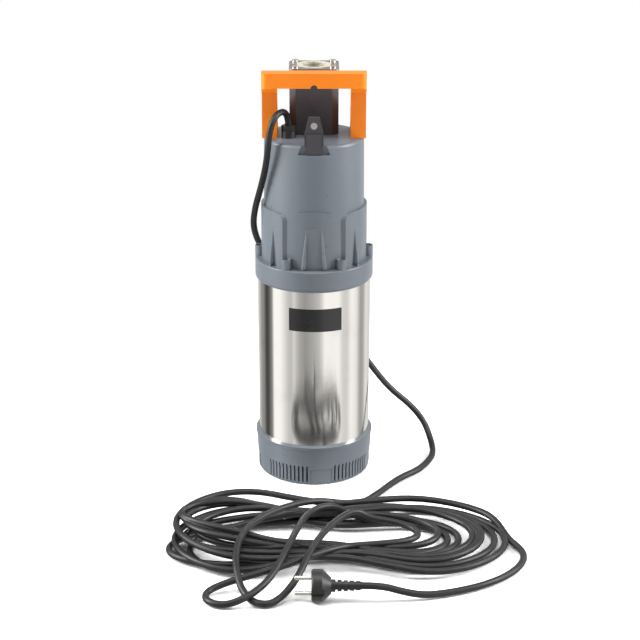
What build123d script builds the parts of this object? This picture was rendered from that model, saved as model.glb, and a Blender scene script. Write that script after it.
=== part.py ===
from build123d import *
import os
from math import cos, degrees, radians, sin, tan

os.makedirs("parts", exist_ok=True)

# Submersible pump, standing on its strainer base. Millimetres, +Z up.
# The origin is the middle of the base's underside and -Y is the front.

# Fits
seat_gap = 0.1
clearance = 0.3
running_gap = 0.04

# Steel sleeve
sleeve_od = 140.0
sleeve_wall = 1.2
sleeve_length = 234.0

# Strainer base
base_height = 51.3
base_wall = 4.0
base_floor = 3.0
base_lip = 3.8
base_lip_height = 4.0
base_step_height = 20.0
base_step = 1.4
base_edge_radius = 2.0
sleeve_seat_z = 28.0
slot_groups = 5
slots_per_group = 11
slot_pitch = 5.3
slot_turn = 7.3
slot_width = 2.0
slot_bottom = 3.5
slot_top = 25.0
frame_rise = 0.6
base_post_radius = 5.0
base_post_circle = 40.0
base_posts = 3

# Pump stages
stages = 4
stage_pitch = 24.0
stage_radius = 52.0
stage_wall = 2.6
stage_plate = 1.6
diffuser_level = 14.5
diffuser_rim_gap = 5.0
vane_thickness = 1.6
suction_cover_thickness = 4.0
impeller_radius = 41.0
impeller_height = 11.0
impeller_lift = 2.2
eye_radius = 19.0
eye_wall = 1.6
hub_radius = 11.0
impeller_vanes = 6
diffuser_vanes = 5
shaft_radius = 7.0
nut_height = 7.0
nut_across = 20.0

# Motor
discharge_height = 11.0
discharge_windows = 6
shield_thickness = 14.0
can_radius = 56.0
can_wall = 1.0
motor_proud = 1.0
stator_bore = 30.0
winding_height = 12.0
winding_gap = 2.0
air_gap = 0.4
bearing_od = 35.0
bearing_width = 11.0
seal_radius = 12.5
seal_length = 7.0
tie_rods = 3
tie_rod_radius = 2.5
tie_rod_offset = 5.5
tie_rod_nut_height = 4.0
tie_rod_nut_radius = 4.5
ear_radius = 5.5
shield_lip = 4.0

# Flange ring and head housing
ring_height = 15.7
ring_overhang = 3.3
ring_fillet = 5.0
sleeve_grip = 7.0
flange_height = 11.6
head_height = 182.0
head_radius = 61.3
head_draft = 1.2
head_edge_radius = 4.0
panel_rise = 4.1
panel_height = 68.7
panel_corner = 9.0
panel_start_angle = 36.0
front_panel_width = 41.0
front_panel_height = 74.0
front_panel_arch = 2.5
front_panel_rise = 1.6
tongue_width = 21.0
tongue_foot_width = 30.0
tongue_height = 52.5
tongue_rise = 0.8
tongue_rib = 2.2
tongue_rib_rise = 3.0
gusset_height = 36.0
gusset_depth = 6.0
gusset_thickness = 2.2
gusset_angle = 50.0
chamber_wall = 6.0
chamber_height = 140.0
duct_width = 60.0
duct_wall = 4.8
duct_depth = 8.5
duct_land = 2.0
duct_height = 155.0
collector_height = 6.0
collector_step = 2.8
passage_height = 13.0
flange_bolts = 6
bolt_inset = 6.1
bolt_radius = 2.5
boss_radius = 6.3
boss_height = 13.0
bolt_head_radius = 4.2
bolt_head_height = 3.0
counterbore_depth = 4.5

# Riser, outlet and non-return valve
riser_width = 60.0
riser_depth = 50.0
riser_chamfer = 8.0
riser_y = 21.0
riser_height = 73.0
riser_bore_radius = 17.0
plate_width = 61.0
plate_depth = 52.0
plate_thickness = 9.0
plate_corner = 7.0
outlet_bore_radius = 15.15
outlet_ring_radius = 21.0
outlet_ring_depth = 4.0
outlet_ring_rise = 0.8
plate_screw_x = 23.0
plate_screw_y = 18.5
screw_head_radius = 4.0
screw_head_height = 2.6
screw_radius = 2.0
screw_length = 22.0
valve_seat_height = 5.0
valve_seat_bore = 11.0
valve_seat_level = 9.0
poppet_radius = 13.5
poppet_thickness = 3.5
stem_radius = 3.0
guide_level = 34.0
guide_height = 6.0
guide_arms = 3
spring_wire_radius = 0.7
spring_radius = 6.5
spring_turns = 4

# Handle
handle_overhang = 1.7
handle_bar_height = 18.0
handle_bar_depth = 19.0
handle_front_y = -45.0
handle_top_rise = 85.0
leg_thickness = 18.5
foot_depth = 34.0
foot_front_y = -20.0
foot_tab_length = 15.0
foot_tab_height = 8.0
foot_tab_inset = 5.0
handle_corner = 7.0
finger_notch_radius = 4.2

# Front bracket
bracket_setback = 5.8
bracket_thickness = 5.0
bracket_height = 35.0
bracket_top_width = 13.0
bracket_foot_width = 22.5
bracket_block_height = 14.0
bracket_screw_rise = 25.0
recess_width = 30.0
recess_flare = 39.0
recess_height = 11.0
recess_depth = 5.0

# Cable gland, cord and plug
cord_diameter = 8.0
gland_inset = 13.5
gland_y = -14.0
gland_radius = 8.5
gland_height = 8.0
gland_nut_across = 15.0
gland_nut_height = 7.0
plug_radius = 18.5
plug_length = 22.0
plug_x = 8.0
plug_y = -371.0
pin_radius = 2.4
pin_length = 19.0
pin_spacing = 19.0
relief_length = 34.0
relief_radius = 7.0
hank_height = 20.0

# Levels and radii worked out from the sizes above
sleeve_radius = sleeve_od / 2
sleeve_inner = sleeve_radius - sleeve_wall
sleeve_top_z = sleeve_seat_z + sleeve_length
base_radius = sleeve_radius + 0.3
base_inner = base_radius - base_wall
cover_radius = sleeve_inner - clearance
stack_z = sleeve_seat_z + suction_cover_thickness
stack_top_z = stack_z + stages * stage_pitch
shield_z = stack_top_z + discharge_height
motor_top_z = sleeve_top_z + motor_proud
upper_shield_z = motor_top_z - shield_thickness
ring_radius = sleeve_radius + ring_overhang
bolt_circle = ring_radius - bolt_inset
collector_radius = sleeve_inner - collector_step
ring_z = sleeve_top_z - sleeve_grip
head_z = ring_z + ring_height
flange_top_z = head_z + flange_height
head_top_z = ring_z + head_height
stator_z = shield_z + shield_thickness + winding_gap + winding_height
stator_length = upper_shield_z - winding_height - stator_z
riser_top_z = head_top_z + riser_height
plate_top_z = riser_top_z + plate_thickness
handle_top_z = head_top_z + handle_top_rise
gland_top_z = head_top_z + gland_height + gland_nut_height
lip_radius = base_radius + base_lip
eye_hole = eye_radius + eye_wall + clearance
bearing_radius = bearing_od / 2
tie_rod_circle = can_radius + tie_rod_offset
hub_bore = shaft_radius + running_gap / 2
plate_inner = stage_radius - stage_wall
shield_radius = can_radius - can_wall - seat_gap
panel_radius = head_radius + panel_rise
panel_edge_y = panel_radius * cos(radians(panel_start_angle))
seal_z = stack_top_z + clearance
duct_outer_radius = head_radius - duct_wall
duct_inner_radius = duct_outer_radius - duct_depth
chamber_radius = duct_inner_radius - duct_land - chamber_wall
chamber_top_z = motor_top_z + chamber_height
capacitor_radius = chamber_radius * 0.425
capacitor_x = -chamber_radius * 0.45
capacitor_y = chamber_radius * 0.1
terminal_x = chamber_radius * 0.5
bracket_y = bracket_setback - head_radius
valve_z = head_top_z + valve_seat_level + valve_seat_height
guide_z = head_top_z + guide_level
relief_end_x = plug_x + plug_length / 2 + relief_length
foot_outer_x = head_radius + handle_overhang
foot_inner_x = foot_outer_x - leg_thickness
gland_x = gland_inset - foot_inner_x
foot_back_y = foot_front_y + foot_depth
tab_screw_x = foot_inner_x + (leg_thickness - foot_tab_inset) / 2
tab_screw_y = foot_back_y + foot_tab_length / 2 + 1
plate_screw_places = [
    (-plate_screw_x, riser_y - plate_screw_y), (-plate_screw_x, riser_y + plate_screw_y),
    (plate_screw_x, riser_y - plate_screw_y), (plate_screw_x, riser_y + plate_screw_y),
]


def disc(radius, low, high, x=0.0, y=0.0):
    """A round solid between two levels."""
    return Pos(x, y, low) * extrude(Circle(radius), high - low)


def ring(outer, inner, low, high, x=0.0, y=0.0):
    """A round solid with a round hole."""
    return Pos(x, y, low) * extrude(Circle(outer) - Circle(inner), high - low)


def block(x_range, y_range, z_range):
    """A box between two corners."""
    size = [b - a for a, b in (x_range, y_range, z_range)]
    middle = [(a + b) / 2 for a, b in (x_range, y_range, z_range)]
    return Pos(*middle) * Box(*size)


def facing_front(y):
    """A plane at a depth, whose outlines are drawn as the front shows them."""
    return Plane(origin=(0, y, 0), x_dir=(1, 0, 0), z_dir=(0, -1, 0))


def turned(*points):
    """A profile of (radius, height) points turned round the pump's axis."""
    face = make_face(Polyline(*points, close=True))
    return revolve(Plane.XZ * face, axis=Axis.Z)


def around(piece, count, start=0.0):
    """Copies of a piece spread evenly round the pump's axis."""
    return [Rot(0, 0, start + k * 360 / count) * piece for k in range(count)]


def fused(pieces):
    """One solid of several that meet."""
    whole = pieces[0]
    for piece in pieces[1:]:
        whole = whole + piece
    return whole


def cut(whole, tools):
    """A solid less several tools."""
    for tool in tools:
        whole = whole - tool
    return whole


def save(name, *pieces):
    """Writes one node, as one solid or as a group of separate solids."""
    solids = [solid for piece in pieces for solid in piece.solids()]
    shape = solids[0] if len(solids) == 1 else Compound(children=solids)
    export_step(shape, f"parts/{name}.step")


def sector(outer, inner, half_angle, low, high, middle=0.0):
    """A piece of a ring, spread to both sides of an angle."""
    reach = 2 * outer
    a = radians(half_angle)
    corners = [(0, 0), (reach * cos(a), -reach * sin(a)), (reach, 0)]
    corners += [(reach * cos(a), reach * sin(a))]
    wedge = make_face(Polyline(*corners, close=True))
    face = (Circle(outer) - Circle(inner)) & wedge
    return Rot(0, 0, middle) * Pos(0, 0, low) * extrude(face, high - low)


def curved_vane(inner, outer, low, high):
    """A blade that curves back from the hub to the rim on one arc."""
    arc_radius = impeller_radius / 2 + vane_thickness
    band = Circle(arc_radius) - Circle(arc_radius - vane_thickness)
    half = Pos(0, arc_radius) * Rectangle(4 * outer, 2 * arc_radius)
    blade = (Pos(arc_radius + 1.0, 0) * band) & half
    blade = blade & (Circle(outer) - Circle(inner))
    return Pos(0, 0, low) * extrude(blade, high - low)


def strainer_base():
    """The slotted base cup that the sleeve stands in."""
    body = turned(
        (0, 0),
        (base_radius, 0),
        (base_radius, base_step_height),
        (base_radius + base_step, base_step_height + base_step),
        (lip_radius - 0.7, base_height - base_lip_height),
        (lip_radius, base_height - base_lip_height + 0.7),
        (lip_radius, base_height),
        (0, base_height),
    )
    bottom_edge = body.edges().group_by(Axis.Z)[0].filter_by(GeomType.CIRCLE)
    body = fillet(bottom_edge, base_edge_radius)
    slot_angle = degrees(slot_pitch / base_radius)
    half_group = slot_angle * (slots_per_group - 1) / 2
    turn = -90.0 + slot_turn + 180.0 / slot_groups
    frame = sector(
        base_radius + frame_rise, base_inner, half_group + slot_angle * 0.75,
        slot_bottom - 0.8, slot_top + 1.5,
    )
    body = fused([body] + around(frame, slot_groups, turn))
    body = body - disc(base_inner, base_floor, base_height)
    body = body - disc(sleeve_radius + seat_gap, sleeve_seat_z, base_height + 1)
    slot_side = (-slot_width / 2, slot_width / 2)
    slot = block((base_inner - 4, base_radius + 4), slot_side, (slot_bottom, slot_top))
    for group in range(slot_groups):
        middle = turn + group * 360 / slot_groups
        for k in range(slots_per_group):
            angle = middle - half_group + k * slot_angle
            body = body - Rot(0, 0, angle) * slot
    post = disc(base_post_radius, base_floor / 2, sleeve_seat_z, base_post_circle)
    body = fused([body] + around(post, base_posts, 90))
    hole = disc(screw_radius + running_gap, -1, sleeve_seat_z + 1, base_post_circle)
    head = disc(screw_head_radius + seat_gap, -1, base_floor, base_post_circle)
    return cut(body, around(hole + head, base_posts, 90))


def base_screws():
    """Screws that hold the base to the suction cover, from below."""
    top = sleeve_seat_z + suction_cover_thickness - 0.5
    shank = disc(screw_radius, base_floor - screw_head_height, top, base_post_circle)
    head = disc(screw_head_radius, base_floor - screw_head_height, base_floor, base_post_circle)
    return around(shank + head, base_posts, 90)


def suction_cover():
    """The plate over the base with the first stage's inlet eye."""
    plate = disc(cover_radius, sleeve_seat_z, stack_z)
    plate = plate - disc(eye_hole, sleeve_seat_z - 1, stack_z + 1)
    base_hole = disc(screw_radius, sleeve_seat_z - 1, stack_z - 0.5, base_post_circle)
    rod_hole = disc(tie_rod_radius, sleeve_seat_z - 1, stack_z + 1, tie_rod_circle)
    return cut(plate, around(base_hole, base_posts, 90) + around(rod_hole, tie_rods, 30))


def stage_casing(low):
    """A stage's bowl with its inlet plate and curved return vanes."""
    high = low + stage_pitch
    floor_z = low + diffuser_level
    wall = ring(stage_radius, plate_inner, low, high)
    inlet = ring(plate_inner + 0.5, eye_hole, low, low + stage_plate)
    floor = ring(plate_inner - diffuser_rim_gap, hub_radius + clearance, floor_z, floor_z + stage_plate)
    vane = curved_vane(eye_radius + 3, plate_inner + 0.5, floor_z + stage_plate / 2, high)
    tip = sector(plate_inner + 0.5, plate_inner - diffuser_rim_gap - 1, 4.0, floor_z, high)
    return fused([wall, inlet, floor] + around(vane, diffuser_vanes) + around(tip, diffuser_vanes, 36))


def impeller(low):
    """A shrouded wheel with backward curved vanes and a long hub."""
    face_z = low + impeller_lift
    back_z = face_z + impeller_height - stage_plate
    hub = ring(hub_radius, hub_bore, low, low + stage_pitch)
    collar = ring(eye_radius + eye_wall, eye_radius, low, face_z + stage_plate)
    front = ring(impeller_radius, eye_radius, face_z, face_z + stage_plate)
    back = ring(impeller_radius, hub_bore, back_z, back_z + stage_plate)
    vane_z = (face_z + stage_plate / 2, back_z + stage_plate / 2)
    vane = curved_vane(hub_radius - 0.5, impeller_radius, *vane_z)
    return fused([hub, front, back, collar] + around(vane, impeller_vanes))


def impeller_nut():
    """The nut that clamps the impellers up the shaft."""
    face = RegularPolygon(nut_across / 2, 6, major_radius=False) - Circle(hub_bore)
    return Pos(0, 0, stack_z - nut_height) * extrude(face, nut_height)


def pump_shaft():
    """The shaft from the impeller nut to the upper bearing."""
    low = stack_z - nut_height - 2.0
    shaft = disc(shaft_radius, low, upper_shield_z + bearing_width)
    return chamfer(shaft.edges().group_by(Axis.Z)[0], 1.0)


def discharge_ring():
    """The windowed ring that lets water out of the last stage."""
    wall = ring(stage_radius, plate_inner, stack_top_z, shield_z)
    window_z = (stack_top_z + 2, shield_z - 2)
    window = block((plate_inner - 2, stage_radius + 2), (-11, 11), window_z)
    return cut(wall, around(window, discharge_windows))


def motor_bottom_shield():
    """The motor's lower end shield with its bearing and seal pockets."""
    lip_z = shield_z + shield_lip
    high = shield_z + shield_thickness
    body = disc(can_radius, shield_z, lip_z) + disc(shield_radius, lip_z, high)
    ear = disc(ear_radius, shield_z, lip_z, tie_rod_circle)
    web = block((shield_radius - 5, tie_rod_circle), (-ear_radius, ear_radius), (shield_z, lip_z))
    body = fused([body] + around(ear + web, tie_rods, 30))
    body = body - disc(bearing_radius + seat_gap / 2, high - bearing_width, high + 1)
    body = body - disc(seal_radius + 2.0, shield_z - 1, high - bearing_width)
    hole = disc(tie_rod_radius, shield_z - 1, lip_z + 1, tie_rod_circle)
    return cut(body, around(hole, tie_rods, 30))


def tie_rods_group():
    """Long bolts that clamp the stages between cover and motor."""
    lip_z = shield_z + shield_lip
    rod = disc(tie_rod_radius, sleeve_seat_z + 0.2, lip_z, tie_rod_circle)
    nut = RegularPolygon(tie_rod_nut_radius, 6, major_radius=False)
    nut = Pos(tie_rod_circle, 0, lip_z) * extrude(nut, tie_rod_nut_height)
    return around(rod + nut, tie_rods, 30)


def motor_top_shield():
    """The motor's upper end shield with a blind bearing pocket."""
    body = disc(shield_radius, upper_shield_z, motor_top_z)
    pocket_top = upper_shield_z + bearing_width
    body = body - disc(bearing_radius + seat_gap / 2, upper_shield_z - 1, pocket_top)
    lead_hole = disc(4.0, upper_shield_z - 1, motor_top_z + 1, chamber_radius - 12)
    return body - lead_hole


def stator_windings():
    """The copper winding heads above and below the core."""
    outer = can_radius - can_wall - 4.0
    inner = stator_bore + 3.0
    lower = ring(outer, inner, stator_z - winding_height, stator_z)
    top = stator_z + stator_length
    upper = ring(outer, inner, top, top + winding_height)
    return [fillet(w.edges().filter_by(GeomType.CIRCLE), 3.0) for w in (lower, upper)]


def rotor_core():
    """The squirrel cage rotor with its cast end rings."""
    radius = stator_bore - air_gap
    core = ring(radius, hub_bore, stator_z, stator_z + stator_length)
    low_ring = ring(radius - 1, radius - 10, stator_z - 6, stator_z)
    high_z = stator_z + stator_length
    high_ring = ring(radius - 1, radius - 10, high_z, high_z + 6)
    return core + low_ring + high_ring


def flange_ring():
    """The lower flange that grips the sleeve's top."""
    body = disc(ring_radius, ring_z, head_z)
    lower = body.edges().group_by(Axis.Z)[0]
    body = fillet(lower, ring_fillet)
    body = body - disc(sleeve_radius + seat_gap, ring_z - 1, sleeve_top_z)
    body = body - disc(collector_radius, ring_z - 1, head_z + 1)
    hole = disc(bolt_radius, head_z - 7, head_z + 1, bolt_circle)
    return cut(body, around(hole, flange_bolts))


def arched_plate(width, height, rise):
    """A tall plate seen from the front, with a shallow arch on top."""
    low = flange_top_z - 1
    high = low + height
    points = [(-width / 2, low), (width / 2, low), (width / 2, high - rise)]
    sides = Polyline(*points)
    arch = ThreePointArc((width / 2, high - rise), (0, high), (-width / 2, high - rise))
    back = Line((-width / 2, high - rise), (-width / 2, low))
    return Plane.XZ * extrude(make_face(sides + arch + back), 2 * panel_radius, both=True)


def tongue_and_ribs():
    """The flared tongue on the front panel, with a rib on each side."""
    low = flange_top_z - 1
    high = flange_top_z + tongue_height
    foot = tongue_foot_width / 2
    top = tongue_width / 2
    face = make_face(Polyline((-foot, low), (foot, low), (top, high), (-top, high), close=True))
    tongue = Plane.XZ * extrude(face, 2 * panel_radius, both=True)
    ribs = []
    for side in (-1, 1):
        corners = [(side * foot, low), (side * (foot - tongue_rib), low)]
        corners += [(side * (top - tongue_rib * 0.6), high), (side * top, high)]
        rib = make_face(Polyline(*corners, close=True))
        ribs.append(Plane.XZ * extrude(rib, 2 * panel_radius, both=True))
    return tongue, ribs


def head_shell():
    """The moulded outside of the head, before its hollows are cut."""
    body = turned(
        (0, head_z), (ring_radius, head_z), (ring_radius, flange_top_z),
        (head_radius + head_draft, flange_top_z), (head_radius, head_top_z), (0, head_top_z),
    )
    edges = body.edges().filter_by(GeomType.CIRCLE)
    body = fillet(edges.group_by(Axis.Z)[-1], head_edge_radius)
    rim = [e for e in body.edges().filter_by(GeomType.CIRCLE) if abs(e.radius - ring_radius) < 0.01]
    body = fillet([e for e in rim if abs(e.center().Z - flange_top_z) < 0.01], 1.5)
    low = flange_top_z - 1
    high = flange_top_z + panel_height
    tall = 2 * (high - low)
    side = Pos(0, high - tall / 2) * RectangleRounded(2 * panel_edge_y, tall, panel_corner)
    side = Plane.YZ * extrude(side, 2 * panel_radius, both=True)
    side = side & (disc(panel_radius, low, high) - disc(head_radius - 8, low - 1, high + 1))
    middle = head_radius + head_draft
    plate = arched_plate(front_panel_width, front_panel_height, front_panel_arch)
    inner_radius = head_radius - 8
    front_shell = ring(middle + front_panel_rise, inner_radius, low, high + 20)
    tongue, ribs = tongue_and_ribs()
    tongue_out = middle + front_panel_rise + tongue_rise
    tongue_shell = ring(tongue_out, inner_radius, low, high + 20)
    rib_out = tongue_out + tongue_rib_rise
    rib_shell = turned((inner_radius, low), (rib_out, low), (middle, high), (inner_radius, high))
    body = fused([body, side, plate & front_shell, tongue & tongue_shell])
    return fused([body] + [rib & rib_shell for rib in ribs])


def gussets():
    """Thin tapered ribs between the side panels and the flange."""
    low = flange_top_z - 1
    foot = panel_radius - 3
    points = [(foot, low), (panel_radius + gusset_depth, low), (foot, flange_top_z + gusset_height)]
    face = Plane.XZ * make_face(Polyline(*points, close=True))
    rib = extrude(face, gusset_thickness / 2, both=True)
    angles = [side * 90 + turn * (90 - gusset_angle) for side in (-1, 1) for turn in (-1, 1)]
    return [Rot(0, 0, 90 + a) * rib for a in angles]


def head_hollows():
    """The dry chamber, the water way to the riser and the cable hole."""
    passage_top = head_z + duct_height
    passage_low = passage_top - passage_height
    skirt_radius = chamber_radius + chamber_wall
    collector = ring(collector_radius, skirt_radius, head_z - 1, head_z + collector_height)
    duct = ring(duct_outer_radius, duct_inner_radius, head_z, passage_top)
    duct_side = (-duct_width / 2, duct_width / 2)
    duct_box = block(duct_side, (0, duct_outer_radius + 5), (head_z, passage_top))
    passage = block((-13, 13), (riser_y, duct_inner_radius + 4), (passage_low, passage_top))
    bore = disc(riser_bore_radius, passage_low, head_top_z + 1, 0, riser_y)
    chamber = disc(chamber_radius, head_z - 20, chamber_top_z)
    cable_hole = disc(cord_diameter / 2 + clearance, chamber_top_z - 1, head_top_z + 1, gland_x, gland_y)
    return [collector, duct & duct_box, passage, bore, chamber, cable_hole]


def head_housing():
    """The moulded head with its flange, panels, ribs and screw bosses."""
    skirt = ring(chamber_radius + chamber_wall, chamber_radius - 1, motor_top_z, head_z + 1)
    boss = disc(boss_radius, flange_top_z - 1, flange_top_z + boss_height, bolt_circle)
    boss = boss & disc(ring_radius, head_z, head_top_z)
    body = fused([head_shell(), skirt] + gussets() + around(boss, flange_bolts))
    shank = disc(bolt_radius + clearance, head_z - 1, head_top_z, bolt_circle)
    boss_top_z = flange_top_z + boss_height
    sink = disc(bolt_head_radius + clearance, boss_top_z - counterbore_depth, head_top_z, bolt_circle)
    shank = shank & disc(ring_radius + 5, head_z - 1, boss_top_z)
    sink = sink & disc(ring_radius + 5, head_z - 1, boss_top_z + bolt_head_height)
    body = cut(body, head_hollows() + around(shank, flange_bolts) + around(sink, flange_bolts))
    low = head_top_z - recess_height
    top_half = recess_width / 2
    low_half = recess_flare / 2
    high = head_top_z + 1
    corners = [(-low_half, low), (low_half, low), (top_half, high), (-top_half, high)]
    face = make_face(Polyline(*corners, close=True))
    recess = facing_front(-head_radius + recess_depth) * extrude(face, 20)
    return body - recess


def flange_screws():
    """Screws that draw the head down on the flange ring."""
    seat_z = flange_top_z + boss_height - counterbore_depth
    shank = disc(bolt_radius - seat_gap / 2, head_z - 6, seat_z, bolt_circle)
    head = disc(bolt_head_radius, seat_z, seat_z + bolt_head_height, bolt_circle)
    socket = Pos(bolt_circle, 0, seat_z + 1) * extrude(RegularPolygon(1.8, 6), bolt_head_height)
    return around(shank + head - socket, flange_bolts)


def riser_face(width, depth, corner):
    """A rectangle with cut corners."""
    return chamfer(Rectangle(width, depth).vertices(), corner)


def riser():
    """The square outlet pipe on the head, with its valve chamber."""
    face = riser_face(riser_width, riser_depth, riser_chamfer)
    body = Pos(0, riser_y, head_top_z) * extrude(face, riser_height)
    body = body - disc(riser_bore_radius, head_top_z - 1, riser_top_z + 1, 0, riser_y)
    for x, y in plate_screw_places:
        body = body - disc(screw_radius, riser_top_z - screw_length, riser_top_z + 1, x, y)
    return body


def valve_seat():
    """The fixed seat ring in the foot of the riser."""
    low = head_top_z + valve_seat_level
    return ring(riser_bore_radius, valve_seat_bore, low, valve_z, 0, riser_y)


def valve_poppet():
    """The lifting disc of the non-return valve, with its stem."""
    low = valve_z + running_gap
    body = disc(poppet_radius, low, low + poppet_thickness, 0, riser_y)
    stem_top = guide_z + guide_height
    return body + disc(stem_radius, low, stem_top, 0, riser_y)


def valve_guide():
    """The spider that the stem slides in."""
    top = guide_z + guide_height
    hub_outer = stem_radius + 3.0
    hub = disc(hub_outer, guide_z, top)
    rim = ring(riser_bore_radius, riser_bore_radius - 1.5, guide_z, top)
    arm = block((hub_outer - 1, riser_bore_radius - 1), (-1.2, 1.2), (guide_z, top))
    body = fused([hub, rim] + around(arm, guide_arms))
    return Pos(0, riser_y, 0) * (body - disc(stem_radius + running_gap, guide_z - 1, top + 1))


def valve_spring():
    """The light closing spring between poppet and guide."""
    low = valve_z + running_gap + poppet_thickness + spring_wire_radius + 0.05
    length = guide_z - spring_wire_radius - 0.05 - low
    path = Helix(length / spring_turns, length, spring_radius)
    section = Plane(origin=path @ 0, z_dir=path % 0) * Circle(spring_wire_radius)
    return Pos(0, riser_y, low) * sweep(section, path=path, is_frenet=True)


def outlet_plate():
    """The flange plate on the riser with its threaded outlet."""
    face = RectangleRounded(plate_width, plate_depth, plate_corner)
    body = Pos(0, riser_y, riser_top_z) * extrude(face, plate_thickness)
    body = body - disc(outlet_bore_radius, riser_top_z - 1, plate_top_z + 1, 0, riser_y)
    body = body - disc(outlet_ring_radius, plate_top_z - outlet_ring_depth, plate_top_z + 1, 0, riser_y)
    for x, y in plate_screw_places:
        body = body - disc(screw_radius + seat_gap, riser_top_z - 1, plate_top_z + 1, x, y)
    return body


def outlet_ring():
    """The pale insert round the outlet's mouth."""
    low = plate_top_z - outlet_ring_depth
    high = plate_top_z + outlet_ring_rise
    return ring(outlet_ring_radius - seat_gap, outlet_bore_radius, low, high, 0, riser_y)


def outlet_screws():
    """Four screws through the plate into the riser."""
    screws = []
    low = riser_top_z - screw_length + 1
    for x, y in plate_screw_places:
        shank = disc(screw_radius - seat_gap / 2, low, plate_top_z, x, y)
        head = disc(screw_head_radius, plate_top_z, plate_top_z + screw_head_height, x, y)
        screws.append(shank + head)
    return screws


def handle():
    """The carrying handle: a front bar on two legs that end on the head."""
    bar_low = handle_top_z - handle_bar_height
    bar_back = handle_front_y + handle_bar_depth
    side = [
        (handle_front_y, handle_top_z), (bar_back, handle_top_z),
        (bar_back + 12, bar_low + 2), (foot_back_y, head_top_z + 22), (foot_back_y, head_top_z),
        (foot_front_y, head_top_z), (foot_front_y, bar_low - 12), (handle_front_y, bar_low),
    ]
    face = Plane.YZ * make_face(Polyline(*side, close=True))
    legs = [extrude(face, leg_thickness) for _ in (-1, 1)]
    right = Pos(foot_inner_x, 0, 0) * legs[0]
    left = Pos(-foot_outer_x, 0, 0) * legs[1]
    bar = block((-foot_outer_x, foot_outer_x), (handle_front_y, bar_back), (bar_low, handle_top_z))
    tab_y = (foot_back_y - 1, foot_back_y + foot_tab_length)
    tabs = []
    tab_z = (head_top_z, head_top_z + foot_tab_height)
    for low_x in (foot_inner_x, foot_tab_inset - foot_outer_x):
        tabs.append(block((low_x, low_x + leg_thickness - foot_tab_inset), tab_y, tab_z))
    body = fused([bar, right, left])
    corners = [e for e in body.edges().filter_by(Axis.Z) if abs(abs(e.center().X) - foot_outer_x) < 0.1]
    corners = [e for e in corners if e.center().Y < handle_front_y + 1]
    body = fillet(corners, handle_corner)
    body = fused([body] + tabs)
    notch = Pos(0, 0, bar_low) * Rot(90, 0, 0) * Cylinder(finger_notch_radius, 200)
    for x in (-tab_screw_x, tab_screw_x):
        body = body - disc(screw_radius + seat_gap, head_top_z - 1, head_top_z + 20, x, tab_screw_y)
    return body - notch


def handle_screws():
    """A screw through the tab behind each foot of the handle."""
    seat_z = head_top_z + foot_tab_height
    screws = []
    for x in (-tab_screw_x, tab_screw_x):
        shank = disc(screw_radius, head_top_z + 0.2, seat_z, x, tab_screw_y)
        head = disc(screw_head_radius, seat_z, seat_z + screw_head_height, x, tab_screw_y)
        screws.append(shank + head)
    return screws


def front_bracket():
    """The eye plate on the head's front edge, on its block."""
    back = bracket_y + bracket_thickness / 2
    low = head_top_z
    high = head_top_z + bracket_height
    foot = bracket_foot_width / 2
    top = bracket_top_width / 2
    shoulder = low + bracket_block_height
    corners = [(-foot, low), (foot, low), (foot, shoulder), (top, high), (-top, high), (-foot, shoulder)]
    face = make_face(Polyline(*corners, close=True))
    plate = facing_front(back) * extrude(face, bracket_thickness)
    block_back = -head_radius + recess_depth
    lower_z = (low - recess_height + 1, shoulder)
    lower = block((-foot + 1.5, foot - 1.5), (block_back - 4.5, block_back), lower_z)
    ledge = block((-foot, foot), (block_back - 2, back), (low, low + 3))
    body = fused([plate, ledge, lower])
    hole = Pos(0, back, low + bracket_screw_rise) * Rot(90, 0, 0) * Cylinder(screw_radius + seat_gap, 30)
    return body - hole


def bracket_screw():
    """The bright screw in the eye plate."""
    front = bracket_y - bracket_thickness / 2
    z = head_top_z + bracket_screw_rise
    head = Rot(90, 0, 0) * Cylinder(screw_head_radius, screw_head_height)
    head = Pos(0, front - screw_head_height / 2, z) * head
    middle = front + (bracket_thickness + 2) / 2
    shank = Rot(90, 0, 0) * Cylinder(screw_radius, bracket_thickness + 2)
    return head + Pos(0, middle, z) * shank


def gland_body():
    """The cable gland's body, screwed into the head."""
    inner = cord_diameter / 2 + clearance
    return ring(gland_radius, inner, head_top_z, head_top_z + gland_height, gland_x, gland_y)


def gland_nut():
    """The gland's clamping nut round the cord."""
    face = RegularPolygon(gland_nut_across / 2, 6, major_radius=False)
    face = face - Circle(cord_diameter / 2 + clearance)
    low = head_top_z + gland_height
    return Pos(gland_x, gland_y, low) * extrude(face, gland_nut_height)


# The cord's way from the gland, over the head's edge, behind the pump and along the floor
drop_route = [
    (gland_x, gland_y, gland_top_z), (-32.5, -16.0, 470.0), (-38.5, -27.5, 483.5), (-48.5, -41.0, 483.5),
    (-57.0, -48.5, 470.0), (-60.0, -50.0, 445.0), (-63.0, -43.0, 412.0), (-69.0, -28.0, 375.0),
    (-75.0, -6.0, 340.0),
    (-78.0, 22.0, 308.0), (-68.0, 52.0, 275.0), (-44.0, 77.0, 238.0), (-8.0, 89.0, 200.0),
    (32.0, 85.0, 160.0), (66.0, 68.0, 120.0), (97.0, 60.0, 80.0), (128.0, 66.0, 52.0),
    (146.0, 62.0, 30.0), (154.0, 44.0, 12.0), (156.0, 18.0, 4.3), (147.0, -10.0, 4.3),
    (132.0, -36.0, 4.3), (112.0, -55.0, 4.3), (97.0, -76.0, 4.3), (80.0, -104.0, 4.3),
    (58.0, -134.0, 4.3), (31.0, -163.0, 4.3),
]
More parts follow.
